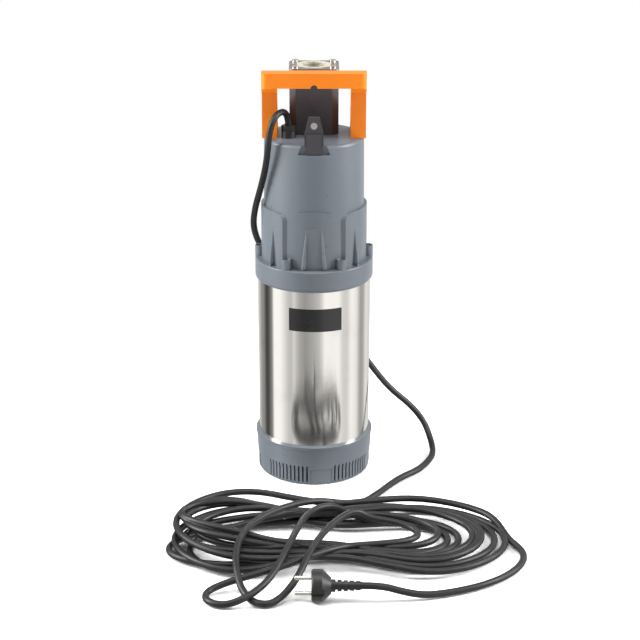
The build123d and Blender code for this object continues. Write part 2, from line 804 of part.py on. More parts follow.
# From the hank's right end round to the plug
tail_route = [
    (229.0, -230.0, 4.3), (238.0, -248.0, 4.3), (244.0, -268.0, 4.3), (238.0, -294.0, 4.3),
    (219.0, -321.0, 4.3), (188.0, -345.0, 4.3), (150.0, -361.0, 4.3), (122.0, -368.0, 5.0),
    (98.0, plug_y, 11.0), (75.0, plug_y, plug_radius), (relief_end_x, plug_y, plug_radius),
]


def cord_tube(name, route):
    """A round cord along straight runs that are joined by tangent arcs."""
    points = [Vector(*point) for point in route]
    runs = [b - a for a, b in zip(points, points[1:])]
    radii = []
    for before, after in zip(runs, runs[1:]):
        half_turn = radians(before.get_angle(after)) / 2
        radii.append(0.45 * min(before.length, after.length) / tan(half_turn))
    path = FilletPolyline(*points, radius=radii)
    section = Plane(origin=path @ 0, z_dir=path % 0) * Circle(cord_diameter / 2)
    tube = sweep(section, path=path)
    share = tube.volume / (section.area * path.length)
    print(name, "length", round(path.length), "radii", [round(r) for r in radii])
    print(name, "volume share", round(share, 3))
    return tube


def cord_hank():
    """The outer shape of the loosely looped cord that lies in front."""
    left = Pos(-82, -232) * Ellipse(92, 122)
    right = Pos(135, -230) * Ellipse(100, 119)
    stray = Pos(-70, -330) * Ellipse(54, 64)
    waist = Pos(25, -236) * Rectangle(120, 150)
    hank = extrude(left + right + stray + waist, hank_height)
    return chamfer(hank.edges().group_by(Axis.Z)[-1], 4.0)


def plug_body():
    """The round plug, lying on its side with its pins to the left."""
    left = plug_x - plug_length / 2
    right = plug_x + plug_length / 2
    profile = [
        (0, left), (plug_radius - 2, left), (plug_radius, left + 2), (plug_radius, left + 12),
        (relief_radius + 2, right), (0, right),
    ]
    face = Plane.XZ * make_face(Polyline(*profile, close=True))
    body = Rot(0, 90, 0) * revolve(face, axis=Axis.Z)
    flat = block((left, right), (-plug_radius - 1, -plug_radius + 2.5), (-4, 4))
    flat_back = block((left, right), (plug_radius - 2.5, plug_radius + 1), (-4, 4))
    return Pos(0, plug_y, plug_radius) * (body - flat - flat_back)


def plug_pins():
    """Two round pins on the plug's face."""
    face_x = plug_x - plug_length / 2
    pins = []
    for side in (-1, 1):
        pin = Cylinder(pin_radius, pin_length)
        pin = fillet(pin.edges().group_by(Axis.Z)[-1], pin_radius * 0.8)
        z = plug_radius + side * pin_spacing / 2
        pins.append(Pos(face_x - pin_length / 2, plug_y, z) * Rot(0, -90, 0) * pin)
    return pins


def plug_relief():
    """The ribbed strain relief between plug and cord."""
    start = plug_x + plug_length / 2
    ribs = 5
    pitch = relief_length / ribs
    pieces = []
    for k in range(ribs):
        outer = relief_radius - k * 0.4
        x = start + k * pitch
        rib = Rot(0, 90, 0) * Cylinder(outer, pitch * 0.7)
        neck = Rot(0, 90, 0) * Cylinder(cord_diameter / 2 + 0.6, pitch * 0.4)
        pieces += [Pos(x + pitch * 0.35, 0, 0) * rib, Pos(x + pitch * 0.8, 0, 0) * neck]
    return Pos(0, plug_y, plug_radius) * fused(pieces)


def capacitor():
    """The motor's run capacitor in the dry chamber."""
    body = disc(capacitor_radius, motor_top_z + 5, motor_top_z + 75, capacitor_x, capacitor_y)
    return fillet(body.edges().group_by(Axis.Z)[-1], 2.0)


def terminal_block():
    """The terminal block where the cord meets the motor's leads."""
    low = motor_top_z
    body = block((terminal_x - 9, terminal_x + 9), (-20, 20), (low, low + 14))
    for k in range(3):
        body = body - disc(2.5, low + 6, low + 20, terminal_x, 13 * (k - 1))
    return body


def capacitor_seat():
    """The cup that the capacitor stands in."""
    outer = capacitor_radius + 2.0
    cup = disc(outer, motor_top_z, motor_top_z + 12, capacitor_x, capacitor_y)
    hollow = capacitor_radius + seat_gap
    return cup - disc(hollow, motor_top_z + 5, motor_top_z + 13, capacitor_x, capacitor_y)


save("strainer_base", strainer_base())
save("base_screws", *base_screws())
save("suction_cover", suction_cover())
save("steel_sleeve", ring(sleeve_radius, sleeve_inner, sleeve_seat_z, sleeve_top_z))
for stage in range(stages):
    stage_low = stack_z + stage * stage_pitch
    save(f"stage_casing_{stage + 1}", stage_casing(stage_low))
    save(f"impeller_{stage + 1}", impeller(stage_low))
save("impeller_nut", impeller_nut())
save("pump_shaft", pump_shaft())
save("discharge_ring", discharge_ring())
save("tie_rods", *tie_rods_group())
seat_low = seal_z + seal_length + running_gap
bearing_z = shield_z + shield_thickness - bearing_width
save("seal_rotating_face", ring(seal_radius, hub_bore, seal_z, seal_z + seal_length))
save("seal_seat", ring(seal_radius + 2.0 - seat_gap, shaft_radius + clearance, seat_low, bearing_z))
save("motor_bottom_shield", motor_bottom_shield())
for name, low in (("lower_bearing", bearing_z), ("upper_bearing", upper_shield_z)):
    save(name, ring(bearing_radius, shaft_radius + running_gap, low, low + bearing_width))
save("motor_can", ring(can_radius, can_radius - can_wall, shield_z + shield_lip, motor_top_z))
core_radius = can_radius - can_wall - seat_gap
save("stator_core", ring(core_radius, stator_bore, stator_z, stator_z + stator_length))
save("stator_windings", *stator_windings())
save("rotor_core", rotor_core())
save("motor_top_shield", motor_top_shield())
save("flange_ring", flange_ring())
save("head_housing", head_housing())
save("flange_screws", *flange_screws())
save("capacitor", capacitor())
save("capacitor_seat", capacitor_seat())
save("terminal_block", terminal_block())
save("riser", riser())
save("valve_seat", valve_seat())
save("valve_poppet", valve_poppet())
save("valve_spring", valve_spring())
save("valve_guide", valve_guide())
save("outlet_plate", outlet_plate())
save("outlet_ring", outlet_ring())
save("outlet_screws", *outlet_screws())
save("handle", handle())
save("handle_screws", *handle_screws())
save("front_bracket", front_bracket())
save("bracket_screw", bracket_screw())
save("gland_body", gland_body())
save("gland_nut", gland_nut())
save("cord_drop", cord_tube("cord_drop", drop_route))
save("cord_hank", cord_hank())
save("cord_tail", cord_tube("cord_tail", tail_route))
save("plug_body", plug_body())
save("plug_pins", *plug_pins())
save("plug_relief", plug_relief())
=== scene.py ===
from math import cos, exp, pi, radians, sin
import bmesh
import bpy
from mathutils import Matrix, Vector


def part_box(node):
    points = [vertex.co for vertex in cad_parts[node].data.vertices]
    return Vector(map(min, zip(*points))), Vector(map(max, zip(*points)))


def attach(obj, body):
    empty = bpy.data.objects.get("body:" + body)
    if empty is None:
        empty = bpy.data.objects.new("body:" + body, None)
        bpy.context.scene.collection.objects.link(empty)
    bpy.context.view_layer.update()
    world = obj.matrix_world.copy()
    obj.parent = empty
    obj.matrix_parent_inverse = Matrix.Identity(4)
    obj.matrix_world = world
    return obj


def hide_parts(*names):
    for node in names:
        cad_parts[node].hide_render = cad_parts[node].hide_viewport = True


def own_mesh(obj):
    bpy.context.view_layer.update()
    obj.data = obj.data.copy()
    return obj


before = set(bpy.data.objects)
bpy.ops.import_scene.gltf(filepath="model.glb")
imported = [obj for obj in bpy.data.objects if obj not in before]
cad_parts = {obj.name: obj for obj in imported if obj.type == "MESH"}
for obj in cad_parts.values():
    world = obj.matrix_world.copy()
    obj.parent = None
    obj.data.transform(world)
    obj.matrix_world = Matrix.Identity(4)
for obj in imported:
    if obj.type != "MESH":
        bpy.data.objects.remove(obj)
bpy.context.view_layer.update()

scene = bpy.context.scene
scene.view_settings.view_transform = "Standard"

# Camera, fitted to the sleeve's width and the curves of its rims in the photograph
camera_distance = 2.2
camera_height = 0.995
camera_pitch = radians(18.12)
focal_pixels = 1851.0
frame_pixels = 640.0
axis_column = 314.0
axis_row = 260.0

# Cord: its height where it lies on the floor, and the rise from one cord to the next on top of it
cord_diameter = 0.008
cord_lie = 0.0043
layer = 0.0084

# Hank: where it lies, how much smaller each turn is than the one outside it, and its waist
hank_turns = 11.0
hank_y = -0.231
hank_left, hank_right = -0.170, 0.232
left_pitch, right_pitch = 0.0030, 0.0098
left_depth, left_scatter = 0.082, 0.027
right_depth, depth_pitch = 0.115, 0.0062
left_drift = 0.005
left_swell, left_shrink = 0.020, 0.0020
waist_x = 0.022
waist_width = 0.080
waist_pinch = 0.45
waist_drift = 0.010
waist_blend = 0.030
waist_heap = 1.15

# The turns before and after the second loop that strays out of the hank
first_turns = (0.85, 1.20)
other_turns = (1.82, hank_turns - 0.04)

# Label: its sides along the sleeve's wall and its height above the floor
label_left, label_right = -0.0317, 0.0352
label_low, label_high = 0.2050, 0.2340
film_gap, film_thickness = 0.0002, 0.0003

# Ribs on the head: where they start above the flange, and the wall that they stand on
rib_foot = 0.2815
tongue_wall, gusset_wall = 0.0630, 0.0640

# Valve and outlet
spring_wire = 0.0007
thread_radius, thread_ridge = 0.01505, 0.00055

# Stage
world_level = 0.24
floor_lift = 1.5
floor_reach, floor_drop = 6.0, 0.0006


def make_camera():
    """A camera in front of the pump, looking down at it as in the photograph."""
    data = bpy.data.cameras.new("camera")
    data.lens = focal_pixels / frame_pixels * 36.0
    data.sensor_width = 36.0
    data.shift_x = 0.5 - axis_column / frame_pixels
    data.shift_y = axis_row / frame_pixels - 0.5
    data.clip_end = 30.0
    camera = bpy.data.objects.new("camera", data)
    camera.location = (0.0, -camera_distance, camera_height)
    camera.rotation_euler = (pi / 2 - camera_pitch, 0.0, 0.0)
    scene.collection.objects.link(camera)
    scene.camera = camera


def link(name, mesh):
    """A new object at the origin, with a mesh already in place."""
    piece = bpy.data.objects.new(name, mesh)
    scene.collection.objects.link(piece)
    return piece


def between(low, high, share):
    return low + (high - low) * share


# The cord's route, in metres, as the pump's own solids hold it
drop_route = [
    (-0.0310, -0.0140, 0.4520), (-0.0316, -0.0155, 0.4630), (-0.0365, -0.0265, 0.4725),
    (-0.0455, -0.0405, 0.4715), (-0.0525, -0.0470, 0.4570), (-0.0550, -0.0465, 0.4350),
    (-0.0580, -0.0400, 0.4080), (-0.0650, -0.0270, 0.3760), (-0.0735, -0.0060, 0.3430),
    (-0.0765, 0.0200, 0.3110), (-0.0680, 0.0520, 0.2750), (-0.0440, 0.0770, 0.2380),
    (-0.0080, 0.0890, 0.2000), (0.0320, 0.0850, 0.1600), (0.0660, 0.0680, 0.1200),
    (0.0970, 0.0600, 0.0800), (0.1280, 0.0660, 0.0520), (0.1460, 0.0620, 0.0300),
    (0.1540, 0.0440, 0.0120), (0.1560, 0.0180, 0.0043), (0.1470, -0.0100, 0.0043),
    (0.1320, -0.0360, 0.0043), (0.1120, -0.0550, 0.0043), (0.0970, -0.0760, 0.0043),
    (0.0800, -0.1040, 0.0043), (0.0580, -0.1340, 0.0043),
]
# Two loops that stray out of the hank towards the viewer
first_stray = [
    (0.032, -0.160, 0.018), (0.002, -0.178, 0.030), (-0.028, -0.197, 0.033),
    (-0.057, -0.222, 0.033), (-0.077, -0.254, 0.033), (-0.087, -0.290, 0.031),
    (-0.089, -0.325, 0.024), (-0.083, -0.356, 0.010), (-0.070, -0.380, 0.0043),
    (-0.056, -0.388, 0.0043), (-0.044, -0.384, 0.0043), (-0.030, -0.367, 0.0080),
    (-0.016, -0.343, 0.018), (-0.004, -0.305, 0.029), (0.018, -0.250, 0.033),
    (0.048, -0.205, 0.032),
]
second_stray = [
    (0.020, -0.290, 0.022), (-0.010, -0.312, 0.022), (-0.040, -0.330, 0.019),
    (-0.075, -0.343, 0.015), (-0.104, -0.349, 0.008), (-0.119, -0.358, 0.0043),
    (-0.121, -0.373, 0.0043), (-0.112, -0.386, 0.0043), (-0.095, -0.390, 0.0050),
    (-0.078, -0.386, 0.010), (-0.061, -0.371, 0.0135), (-0.046, -0.347, 0.019),
    (-0.032, -0.309, 0.029), (-0.020, -0.262, 0.033), (-0.008, -0.218, 0.033),
    (0.020, -0.185, 0.030),
]
tail_route = [
    (0.229, -0.230, 0.0043), (0.238, -0.248, 0.0043), (0.244, -0.268, 0.0043),
    (0.238, -0.294, 0.0043), (0.219, -0.321, 0.0043), (0.188, -0.345, 0.0043),
    (0.150, -0.361, 0.0043), (0.122, -0.368, 0.0050), (0.098, -0.371, 0.0110),
    (0.075, -0.371, 0.0185), (0.053, -0.371, 0.0185),
]


def hank_point(turn, angle):
    """A point of a turn: nested at the right, piled at the left, crossing at the waist."""
    inward = hank_turns - turn
    swap = max(0.0, inward + 1.5 * sin(2.25 * turn) * min(1.0, inward / 2))
    wander = sin(2.4 * turn + 0.4)
    left = hank_left + left_pitch * inward + left_drift * sin(3.1 * turn)
    right = hank_right - right_pitch * swap
    x = (left + right) / 2 + (right - left) / 2 * cos(angle)
    side = 1 / (1 + exp(-(x - waist_x) / waist_blend))
    near = exp(-(((x - waist_x) / waist_width) ** 2))
    half_left = left_depth + left_swell * sin(1.9 * turn + 0.5) - left_shrink * inward
    half_depth = half_left + (right_depth - depth_pitch * swap - half_left) * side
    y = hank_y - half_depth * sin(angle) * (1.0 - waist_pinch * near)
    y += left_scatter * wander * (1 - side) + waist_drift * near * sin(2.7 * turn + 1.0)
    over = exp(-(((x - waist_x) / (waist_width * waist_heap)) ** 4))
    pile = 1.0 - 0.6 * cos(pi * (turn + 0.25)) - 0.4 * cos(2 * pi * turn / 3)
    left_heap = (1.45 + 1.45 * wander) * (1 - side)
    right_heap = (0.5 - 0.5 * cos(pi * (turn + 0.25))) * side
    z = cord_lie + layer * (over * pile + (1 - over) * (left_heap + right_heap))
    return (x, y, z)


def hank_points(first, last, steps=26):
    """The points of the turns from one to another, in whole and part turns."""
    count = int((last - first) * steps)
    points = []
    for k in range(count + 1):
        turn = first + k / steps
        points.append(hank_point(turn, 2 * pi * turn))
    return points


def make_cord():
    """The whole mains cord, from the gland to the plug, as one smooth line."""
    route = drop_route + first_stray + hank_points(*first_turns)
    route += second_stray + hank_points(*other_turns) + tail_route
    curve = bpy.data.curves.new("mains_cord", "CURVE")
    curve.dimensions = "3D"
    spline = curve.splines.new("NURBS")
    spline.points.add(len(route) - 1)
    for point, place in zip(spline.points, route):
        point.co = (*place, 1.0)
    spline.order_u = 3
    spline.use_endpoint_u = True
    spline.resolution_u = 5
    curve.bevel_depth = cord_diameter / 2
    curve.bevel_resolution = 4
    curve.use_fill_caps = True
    cord = bpy.data.objects.new("mains_cord", curve)
    scene.collection.objects.link(cord)
    return cord


class Shade:
    """One socket of a material's node tree, with Python's own operators."""

    def __init__(self, tree, socket):
        self.tree = tree
        self.socket = socket

    def make(self, kind, settings=None, inputs=None, output=0):
        """A node of any type: its settings first, then its sockets' values or links."""
        node = self.tree.nodes.new(kind)
        for key, value in (settings or {}).items():
            if key == "stops":
                ramp = node.color_ramp
                while len(ramp.elements) < len(value):
                    ramp.elements.new(0.5)
                for element, (place, colour) in zip(ramp.elements, value):
                    element.position = place
                    element.color = colour
            else:
                setattr(node, key, value)
        for key, value in (inputs or {}).items():
            if isinstance(value, Shade):
                self.tree.links.new(value.socket, node.inputs[key])
            else:
                node.inputs[key].default_value = value
        return Shade(self.tree, node.outputs[output])

    def maths(self, operation, *values, clamp=False):
        settings = {"operation": operation, "use_clamp": clamp}
        return self.make("ShaderNodeMath", settings, dict(enumerate(values)))

    def __add__(self, other):
        return self.maths("ADD", self, other)

    __radd__ = __add__

    def __mul__(self, other):
        return self.maths("MULTIPLY", self, other)

    __rmul__ = __mul__

    def __sub__(self, other):
        return self.maths("SUBTRACT", self, other)

    def __rsub__(self, other):
        return self.maths("SUBTRACT", other, self)

    def above(self, low, high):
        """0 below low and 1 above high, with a smooth step between."""
        sockets = {"Value": self, "From Min": low, "From Max": high}
        return self.make("ShaderNodeMapRange", {"interpolation_type": "SMOOTHSTEP"}, sockets)

    def mix(self, first, second):
        """From one colour to the other as this value goes from 0 to 1."""
        settings = {"data_type": "RGBA"}
        return self.make("ShaderNodeMix", settings, {0: self, 6: first, 7: second}, output=2)


class Finish:
    """A material on one shader, whose patterns lie in the object's own space."""

    def __init__(self, name, colour, roughness, metallic=0.0, coat=0.0):
        self.material = bpy.data.materials.new(name)
        self.material.use_nodes = True
        self.tree = self.material.node_tree
        self.surface = self.tree.nodes["Principled BSDF"]
        self.surface.inputs["Base Color"].default_value = (*colour, 1.0)
        self.surface.inputs["Roughness"].default_value = roughness
        self.surface.inputs["Metallic"].default_value = metallic
        self.surface.inputs["Coat Weight"].default_value = coat
        place = self.tree.nodes.new("ShaderNodeTexCoord")
        self.place = Shade(self.tree, place.outputs["Object"])

    def noise(self, scale, detail=2.0, rough=0.5, stretch=None):
        """Fine or coarse noise, stretched along an axis where that is wanted."""
        place = self.place
        if stretch:
            place = place.make("ShaderNodeMapping", None, {"Vector": place, "Scale": stretch})
        sockets = {"Vector": place, "Scale": scale, "Detail": detail, "Roughness": rough}
        return place.make("ShaderNodeTexNoise", None, sockets)

    def axis(self, index):
        """The place along one axis, in metres."""
        return self.place.make("ShaderNodeSeparateXYZ", None, {0: self.place}, output=index)

    def feed(self, socket, value):
        self.tree.links.new(value.socket, self.surface.inputs[socket])

    def bump(self, height, strength, distance):
        sockets = {"Height": height, "Strength": strength, "Distance": distance}
        self.feed("Normal", self.place.make("ShaderNodeBump", None, sockets))


def shades_of(colour, spread):
    """A darker and a lighter shade of a colour."""
    dark = tuple(c * (1 - spread) for c in colour) + (1.0,)
    light = tuple(min(1.0, c * (1 + spread)) for c in colour) + (1.0,)
    return dark, light


def moulded(
    name, colour, roughness, grain=1500.0, depth=0.12, spread=0.10, coat=0.0, rub=0.10,
):
    """Moulded plastic: a fine spark grain, faint flow shades and rubbed patches."""
    finish = Finish(name, colour, roughness, coat=coat)
    flow = finish.noise(14.0, 3.0, stretch=(1.0, 1.0, 0.35))
    rubbed = finish.noise(55.0, 5.0, 0.65).above(0.52, 0.74)
    dark, light = shades_of(colour, spread)
    pale = tuple(c * 0.75 + 0.12 for c in colour) + (1.0,)
    shade = flow.above(0.3, 0.7).mix(dark, light)
    finish.feed("Base Color", (rubbed * rub).mix(shade, pale))
    finish.feed("Roughness", roughness - 0.10 * rubbed + 0.12 * (flow - 0.5))
    finish.bump(finish.noise(grain, 2.0, 0.6), depth, 0.0002)
    return finish


def polished_steel():
    """The sleeve's bright rolled sheet, with faint upright streaks, smudges and hairlines."""
    finish = Finish("polished_steel", (0.90, 0.885, 0.86), 0.07, metallic=1.0)
    streaks = finish.noise(1.0, 4.0, 0.7, stretch=(420.0, 420.0, 1.6))
    smudge = finish.noise(16.0, 4.0, 0.6).above(0.5, 0.8)
    scratch = finish.noise(1.0, 2.0, 0.5, stretch=(2600.0, 2600.0, 14.0)).above(0.68, 0.76)
    dull, bright = (0.84, 0.825, 0.80, 1.0), (0.93, 0.915, 0.89, 1.0)
    finish.feed("Base Color", smudge.mix(bright, dull))
    finish.feed("Roughness", 0.085 + 0.06 * streaks + 0.02 * smudge + 0.05 * scratch)
    finish.bump(streaks, 0.03, 0.0001)
    finish.surface.inputs["Anisotropic"].default_value = 0.9
    finish.surface.inputs["Anisotropic Rotation"].default_value = 0.25
    return finish


def machined(name, colour, roughness, turned=600.0):
    """Turned or plated metal with fine rings and dull spots."""
    finish = Finish(name, colour, roughness, metallic=1.0)
    marks = finish.noise(turned, 3.0, 0.6, stretch=(1.0, 1.0, 2.5))
    spots = finish.noise(220.0, 3.0, 0.6).above(0.55, 0.75)
    dark, light = shades_of(colour, 0.14)
    finish.feed("Base Color", spots.mix(light, dark))
    finish.feed("Roughness", roughness + 0.10 * marks + 0.12 * spots)
    finish.bump(marks, 0.10, 0.0001)
    return finish


def cast(name, colour, roughness):
    """Sand or die cast metal with a pebbled skin."""
    finish = Finish(name, colour, roughness, metallic=0.75)
    pebble = finish.noise(900.0, 3.0, 0.6)
    patch = finish.noise(40.0, 4.0, 0.6)
    dark, light = shades_of(colour, 0.16)
    finish.feed("Base Color", patch.above(0.3, 0.7).mix(dark, light))
    finish.feed("Roughness", roughness + 0.18 * (patch - 0.5))
    finish.bump(pebble, 0.25, 0.0002)
    return finish


def cord_rubber():
    """The cord's dark sheath, with dust in patches and shinier where it was rubbed; both of its
    colours are darkened to paint in the shade that falls inside the coiled hank.
    """
    finish = Finish("cord_rubber", (0.030, 0.030, 0.031), 0.42)
    dust = finish.noise(38.0, 5.0, 0.65).above(0.42, 0.75)
    grain = finish.noise(2600.0, 2.0, 0.6)
    # Painted shade: these two colours are darker than the rubber itself, to stand in for the shade
    # inside the hank.
    clean_with_painted_shade, dusty_with_painted_shade = (0.009, 0.009, 0.010, 1.0), (0.036, 0.035, 0.035, 1.0)
    finish.feed("Base Color", (dust * 0.5).mix(clean_with_painted_shade, dusty_with_painted_shade))
    finish.feed("Roughness", 0.42 + 0.16 * dust)
    finish.bump(grain, 0.12, 0.0001)
    return finish


def copper_winding():
    """Varnished copper wire, laid round in fine turns."""
    finish = Finish("copper_winding", (0.62, 0.25, 0.10), 0.35, metallic=0.9)
    turns = finish.axis(2) * 5200.0
    wire = turns.maths("SINE", turns)
    patch = finish.noise(90.0, 3.0)
    finish.feed("Base Color", patch.mix((0.42, 0.15, 0.06, 1.0), (0.78, 0.34, 0.14, 1.0)))
    finish.feed("Roughness", 0.28 + 0.2 * patch)
    finish.bump(wire, 0.35, 0.0003)
    return finish


def laminated_steel():
    """A stack of stamped sheets, seen as fine level lines."""
    finish = Finish("laminated_steel", (0.22, 0.22, 0.23), 0.5, metallic=0.8)
    sheets = finish.axis(2) * 9000.0
    lines = sheets.maths("SINE", sheets)
    patch = finish.noise(60.0, 3.0)
    finish.feed("Base Color", patch.mix((0.14, 0.14, 0.15, 1.0), (0.32, 0.31, 0.30, 1.0)))
    finish.feed("Roughness", 0.42 + 0.2 * patch)
    finish.bump(lines, 0.3, 0.0002)
    return finish


def label_finish():
    """The label's plain dark film, without words."""
    return moulded(
        "label_film", (0.012, 0.012, 0.013), 0.30, grain=900.0, depth=0.04, spread=0.2, coat=0.3,
    )


def dress_nodes(finishes):
    """Gives each node its finish."""
    for name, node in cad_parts.items():
        finish = finishes[finish_of(name)]
        for place in node.material_slots:
            place.material = finish.material


finish_names = {
    "head": ["strainer_base", "head_housing", "flange_ring"],
    "riser": ["riser", "front_bracket"],
    "orange": ["handle"],
    "steel": ["steel_sleeve"],
    "stainless": ["motor_can", "pump_shaft", "impeller_nut", "tie_rods", "valve_spring"],
    "zinc": ["base_screws", "flange_screws", "outlet_screws", "handle_screws", "bracket_screw"],
    "bearing": ["lower_bearing", "upper_bearing", "plug_pins"],
    "alloy": ["outlet_plate", "motor_bottom_shield", "motor_top_shield"],
    "insert": ["outlet_ring", "capacitor", "terminal_block"],
    "core": ["stator_core", "rotor_core"],
    "copper": ["stator_windings"],
    "ceramic": ["seal_rotating_face", "seal_seat"],
    "rubber": ["cord_drop", "cord_hank", "cord_tail"],
    "black": ["plug_body", "plug_relief", "gland_body", "gland_nut", "capacitor_seat"],
}


def finish_of(node_name):
    """The finish of a node: the stage plastic where the table doesn't name it."""
    for finish, nodes in finish_names.items():
        if node_name in nodes:
            return finish
    return "stage"


def make_finishes():
    """Every finish by its name in the table above, and the label's."""
    return {
        "head": moulded("head_plastic", (0.146, 0.168, 0.194), 0.34, spread=0.05),
        "riser": moulded("riser_plastic", (0.055, 0.052, 0.060), 0.42, spread=0.12),
        "orange": moulded(
            "handle_orange", (1.0, 0.24, 0.0), 0.42, grain=1100.0, depth=0.08, spread=0.04, rub=0.02,
        ),
        "steel": polished_steel(),
        "stainless": machined("stainless", (0.62, 0.61, 0.59), 0.22),
        "zinc": machined("zinc_screws", (0.66, 0.65, 0.62), 0.24, 900.0),
        "bearing": machined("nickel", (0.70, 0.68, 0.63), 0.18, 1200.0),
        "alloy": cast("cast_alloy", (0.34, 0.32, 0.30), 0.42),
        "insert": moulded("pale_insert", (0.62, 0.58, 0.47), 0.45, spread=0.06),
        "core": laminated_steel(),
        "copper": copper_winding(),
        "ceramic": moulded("seal_ceramic", (0.72, 0.70, 0.64), 0.18, depth=0.03, spread=0.03),
        "rubber": cord_rubber(),
        "black": moulded("black_plastic", (0.020, 0.020, 0.021), 0.40, spread=0.2),
        "stage": moulded("stage_plastic", (0.045, 0.045, 0.047), 0.30, spread=0.15),
        "label": label_finish(),
    }


def make_label(finish):
    """A bare film plate on the sleeve's front."""
    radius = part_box("steel_sleeve")[1][0] + film_gap
    columns, rows = 32, 6
    mesh = bmesh.new()
    grid = []
    for r in range(rows + 1):
        line = []
        for c in range(columns + 1):
            angle = between(label_left, label_right, c / columns) / radius
            z = between(label_low, label_high, r / rows)
            line.append(mesh.verts.new((radius * sin(angle), -radius * cos(angle), z)))
        grid.append(line)
    for r in range(rows):
        for c in range(columns):
            mesh.faces.new((grid[r][c], grid[r][c + 1], grid[r + 1][c + 1], grid[r + 1][c]))
    data = bpy.data.meshes.new("bare_label")
    mesh.to_mesh(data)
    mesh.free()
    data.materials.append(finish.material)
    piece = link("bare_label", data)
    wall = piece.modifiers.new("film", "SOLIDIFY")
    wall.thickness = film_thickness
    wall.offset = 1.0
    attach(piece, "root")


def tapered_rib(mesh, angles, levels, base_radius, rises, halves, rows=16, steps=10):
    """Adds a rounded rib that stands on a round wall and fades out from its foot to its tip."""
    rings = []
    for k in range(rows + 1):
        share = k / rows
        angle = radians(between(*angles, share))
        out = Vector((sin(angle), -cos(angle), 0.0))
        side = Vector((cos(angle), sin(angle), 0.0))
        rise = between(*rises, share) * min(1.0, share / 0.07 + 0.25) ** 0.6
        half = between(*halves, share) * min(1.0, share / 0.07 + 0.35)
        ring = []
        for step in range(steps + 1):
            way = pi * step / steps
            point = out * (base_radius + rise * sin(way) ** 0.7) + side * (half * cos(way))
            ring.append(mesh.verts.new((point.x, point.y, between(*levels, share))))
        rings.append(ring)
    for low, high in zip(rings, rings[1:]):
        for a, b in zip(range(steps + 1), [*range(1, steps + 1), 0]):
            mesh.faces.new((low[a], low[b], high[b], high[a]))
    mesh.faces.new(list(reversed(rings[0])))
    mesh.faces.new(rings[-1])


def rib_piece(name, finish, *ribs):
    """One piece of the head's skin, made of ribs."""
    mesh = bmesh.new()
    for rib in ribs:
        tapered_rib(mesh, *rib)
    bmesh.ops.recalc_face_normals(mesh, faces=mesh.faces)
    for face in mesh.faces:
        face.smooth = len(face.verts) == 4
    data = bpy.data.meshes.new(name)
    mesh.to_mesh(data)
    mesh.free()
    data.materials.append(finish.material)
    return link(name, data)


class Tree:
    """A Geometry Nodes tree with named inputs, baked into a plain mesh when it is done."""

    def __init__(self, name, sizes, material):
        self.tree = bpy.data.node_groups.new(name, "GeometryNodeTree")
        self.sizes = sizes
        self.material = material
        face = self.tree.interface
        face.new_socket("Geometry", in_out="INPUT", socket_type="NodeSocketGeometry")
        for label, value in sizes.items():
            kind = "NodeSocketInt" if isinstance(value, int) else "NodeSocketFloat"
            face.new_socket(label, in_out="INPUT", socket_type=kind)
        face.new_socket("Geometry", in_out="OUTPUT", socket_type="NodeSocketGeometry")
        self.given = self.tree.nodes.new("NodeGroupInput").outputs

    def make(self, kind, settings=None, inputs=None):
        """A node of any type, by its first output."""
        node = self.tree.nodes.new(kind)
        for key, value in (settings or {}).items():
            setattr(node, key, value)
        for key, value in (inputs or {}).items():
            if isinstance(value, bpy.types.NodeSocket):
                self.tree.links.new(value, node.inputs[key])
            else:
                node.inputs[key].default_value = value
        return node.outputs[0]

    def maths(self, operation, *values):
        return self.make("ShaderNodeMath", {"operation": operation}, dict(enumerate(values)))

    def bake(self, piece, geometry):
        """Runs the tree on a piece and leaves its result as a plain mesh."""
        whole = self.make("GeometryNodeRealizeInstances", None, {0: geometry})
        whole = self.make("GeometryNodeSetMaterial", None, {0: whole, "Material": self.material})
        out = self.tree.nodes.new("NodeGroupOutput")
        self.tree.links.new(whole, out.inputs[0])
        modifier = piece.modifiers.new("rule", "NODES")
        modifier.node_group = self.tree
        for item in self.tree.interface.items_tree:
            if item.item_type == "SOCKET" and item.in_out == "INPUT" and item.name in self.sizes:
                modifier[item.identifier] = self.sizes[item.name]
        seen = piece.evaluated_get(bpy.context.evaluated_depsgraph_get())
        mesh = bpy.data.meshes.new_from_object(seen)
        piece.modifiers.remove(modifier)
        piece.data = mesh


def head_ribs(finish):
    """The two ribs on the head's tongue, as the photograph shows them."""
    foot_angle, tip_angle = 11.8, 8.0
    levels, rises, halves = (rib_foot, 0.3340), (0.0062, 0.0019), (0.0031, 0.0009)
    pair = [
        ((side * foot_angle, side * tip_angle), levels, tongue_wall, rises, halves) for side in (-1, 1)
    ]
    piece = rib_piece("tongue_ribs", finish, *pair)
    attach(piece, "root")


def side_gussets(finish):
    """The tall gussets on the side panels: one shape, repeated in pairs round the head."""
    shape = ((0.0, 0.0), (rib_foot, 0.3310), gusset_wall, (0.0078, 0.0013), (0.0024, 0.0009))
    piece = rib_piece("side_gussets", finish, shape)
    sizes = {"Copies": 4, "First angle": radians(50.0), "Step": radians(80.0)}
    rule = Tree("gusset_pairs", sizes, finish.material)
    points = rule.make("GeometryNodeMeshLine", None, {
        "Count": rule.given["Copies"], "Offset": (0.0, 0.0, 0.0)})
    index = rule.make("GeometryNodeInputIndex")
    side = rule.maths("MULTIPLY_ADD", rule.maths("MODULO", index, 2.0), 2.0, -1.0)
    pair = rule.maths("FLOOR", rule.maths("MULTIPLY", index, 0.5))
    turn = rule.maths("MULTIPLY_ADD", pair, rule.given["Step"], rule.given["First angle"])
    turn = rule.make("ShaderNodeCombineXYZ", None, {2: rule.maths("MULTIPLY", turn, side)})
    copies = rule.make("GeometryNodeInstanceOnPoints", None, {
        "Points": points, "Instance": rule.given["Geometry"], "Rotation": turn})
    rule.bake(piece, copies)
    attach(piece, "root")


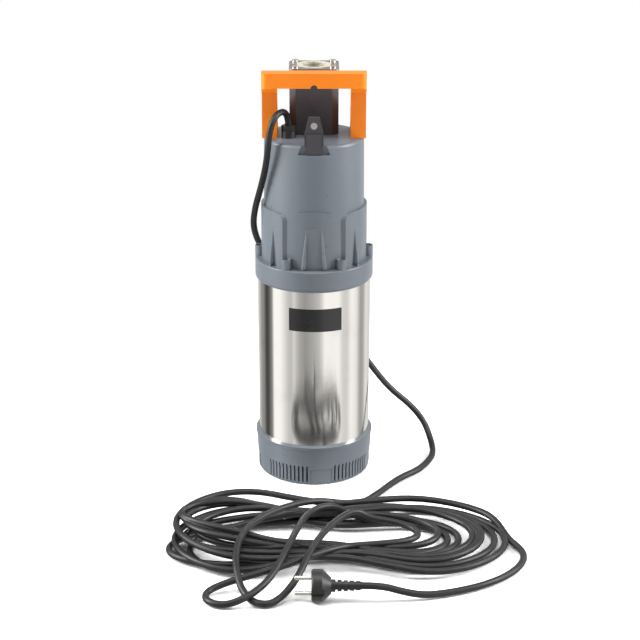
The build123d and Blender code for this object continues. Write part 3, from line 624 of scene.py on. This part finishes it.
def wind(piece, name, sizes, finish, middle, steps, sides):
    """Winds a round wire upwards and to the right about the middle, by rule from the named sizes."""
    rule = Tree(name, sizes, finish.material)
    given = rule.given
    path = rule.make("GeometryNodeCurveSpiral", None, {
        "Resolution": steps, "Rotations": given["Turns"], "Start Radius": given["Radius"],
        "End Radius": given["Radius"], "Height": given["Height"], "Reverse": True})
    profile = rule.make("GeometryNodeCurvePrimitiveCircle", None, {
        "Resolution": sides, "Radius": given["Wire"]})
    coil = rule.make("GeometryNodeCurveToMesh", None, {
        0: path, "Profile Curve": profile, "Fill Caps": True})
    place = rule.make("ShaderNodeCombineXYZ", None, {0: middle[0], 1: middle[1], 2: given["Level"]})
    rule.bake(piece, rule.make("GeometryNodeTransform", None, {0: coil, "Translation": place}))


def outlet_thread(finish):
    """The pipe thread's ridge in the outlet."""
    low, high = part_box("outlet_plate")
    piece = link("outlet_thread", bpy.data.meshes.new("outlet_thread"))
    sizes = {
        "Turns": 4.3, "Radius": thread_radius, "Height": high[2] - low[2] - 0.0008,
        "Wire": thread_ridge, "Level": low[2] + 0.0006,
    }
    wind(piece, "thread", sizes, finish, (0.0, (low[1] + high[1]) / 2), 56, 6)
    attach(piece, "root")


def closing_spring(finish):
    """The valve's spring between the disc and its guide, wound at one fixed length in place of the
    model's spring.
    """
    low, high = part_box("valve_spring")
    middle = ((low[0] + high[0]) / 2, (low[1] + high[1]) / 2)
    length = high[2] - low[2]
    piece = link("closing_spring", bpy.data.meshes.new("closing_spring"))
    sizes = {
        "Turns": 4.0, "Radius": (high[1] - low[1]) / 2 - spring_wire,
        "Height": length - 2 * spring_wire, "Wire": spring_wire, "Level": low[2] + spring_wire,
    }
    wind(piece, "spring", sizes, finish, middle, 40, 10)
    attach(piece, "root")
    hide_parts("valve_spring")
    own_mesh(piece)


def floor_paper():
    """Matt paper that keeps the object's shadow and runs out to plain white."""
    material = bpy.data.materials.new("floor_paper")
    material.use_nodes = True
    tree = material.node_tree
    surface = tree.nodes["Principled BSDF"]
    surface.inputs["Roughness"].default_value = 1.0
    surface.inputs["Specular IOR Level"].default_value = 0.0
    rays = tree.nodes.new("ShaderNodeLightPath")
    seen = Shade(tree, rays.outputs["Is Camera Ray"])
    tint = seen.mix((0.90, 0.90, 0.90, 1.0), (floor_lift, floor_lift, floor_lift, 1.0))
    tree.links.new(tint.socket, surface.inputs["Base Color"])
    texture = tree.nodes.new("ShaderNodeTexCoord")
    place = Shade(tree, texture.outputs["Object"])
    middle = (0.03, -0.15, 0.0)
    spot = place.make("ShaderNodeVectorMath", {"operation": "SUBTRACT"}, {0: place, 1: middle})
    reach = spot.make("ShaderNodeVectorMath", {"operation": "LENGTH"}, {0: spot}, output=1)
    white = spot.make("ShaderNodeEmission", None, {"Color": (1.0, 1.0, 1.0, 1.0)})
    far = reach.above(0.42, 0.75)
    blend = spot.make("ShaderNodeMixShader", None, {0: far * seen, 2: white})
    tree.links.new(surface.outputs[0], blend.socket.node.inputs[1])
    tree.links.new(blend.socket, tree.nodes["Material Output"].inputs["Surface"])
    return material


def area_light(name, place, aim, size, power):
    """A soft rectangular lamp that faces a point."""
    data = bpy.data.lights.new(name, "AREA")
    data.shape = "RECTANGLE"
    data.size, data.size_y = size
    data.energy = power
    light = bpy.data.objects.new(name, data)
    light.location = place
    light.rotation_euler = (Vector(aim) - Vector(place)).to_track_quat("-Z", "Y").to_euler()
    scene.collection.objects.link(light)


# What polished metal mirrors: the angle from the front, positive to the right, and the brightness
studio_bands = [
    (-180, 0.60), (-158, 0.66), (-140, 0.32), (-128, 0.26), (-118, 0.06), (-110, 0.07), (-103, 0.16),
    (-96, 0.30), (-92, 1.0), (-74, 1.0), (-64, 0.80), (-55, 0.60), (-48, 0.55), (-42, 0.72),
    (-35, 0.52), (-28, 0.40), (-18, 0.33), (-4, 0.42), (10, 0.55), (17, 0.75), (22, 1.0),
    (52, 1.0), (62, 0.70), (72, 0.66), (84, 0.95), (98, 0.85), (112, 0.36), (124, 0.42),
    (134, 0.80), (180, 0.60),
]


def make_world():
    """A white studio that lights plainly, and that polished metal sees as upright bands."""
    world = bpy.data.worlds.new("studio")
    scene.world = world
    world.use_nodes = True
    tree = world.node_tree
    background = tree.nodes["Background"]
    rays = tree.nodes.new("ShaderNodeLightPath")
    seen = Shade(tree, rays.outputs["Is Camera Ray"])
    glossy = Shade(tree, rays.outputs["Is Glossy Ray"])
    texture = tree.nodes.new("ShaderNodeTexCoord")
    way = Shade(tree, texture.outputs["Generated"])
    across = way.make("ShaderNodeSeparateXYZ", None, {0: way}, output=0)
    away = way.make("ShaderNodeSeparateXYZ", None, {0: way}, output=1)
    turn = across.maths("ARCTAN2", across, away * -1.0) * (0.5 / pi) + 0.5
    stops = [(angle / 360 + 0.5, (b, b * 0.985, b * 0.96, 1.0)) for angle, b in studio_bands]
    bands = turn.make("ShaderNodeValToRGB", {"stops": stops}, {0: turn})
    plain = (world_level, world_level, world_level, 1.0)
    shade = glossy.mix(plain, bands)
    shade = seen.mix(shade, (1.0, 1.0, 1.0, 1.0))
    tree.links.new(shade.socket, background.inputs["Color"])


def make_stage():
    """A plain white floor and soft studio lamps."""
    data = bpy.data.meshes.new("floor")
    far = floor_reach
    corners = [(-far, -far, 0), (far, -far, 0), (far, far, 0), (-far, far, 0)]
    data.from_pydata(corners, [], [(0, 1, 2, 3)])
    floor = link("floor", data)
    data.materials.append(floor_paper())
    floor.location = (0, 0, -floor_drop)
    floor.visible_glossy = False
    make_world()
    area_light("key_left", (-1.8, -0.15, 1.1), (0, 0, 0.25), (0.8, 1.6), 56.0)
    area_light("fill_right", (1.9, -0.25, 1.1), (0, 0, 0.25), (0.8, 1.6), 48.0)
    area_light("top", (0.0, -0.6, 2.2), (0, 0, 0.2), (1.6, 1.2), 20.0)


make_camera()
finishes = make_finishes()
cord = make_cord()
cord.data.materials.append(finishes["rubber"].material)
dress_nodes(finishes)
make_label(finishes["label"])
head_ribs(finishes["head"])
side_gussets(finishes["head"])
outlet_thread(finishes["insert"])
closing_spring(finishes["stainless"])
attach(cord, "root")
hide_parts("cord_drop", "cord_hank", "cord_tail")
make_stage()
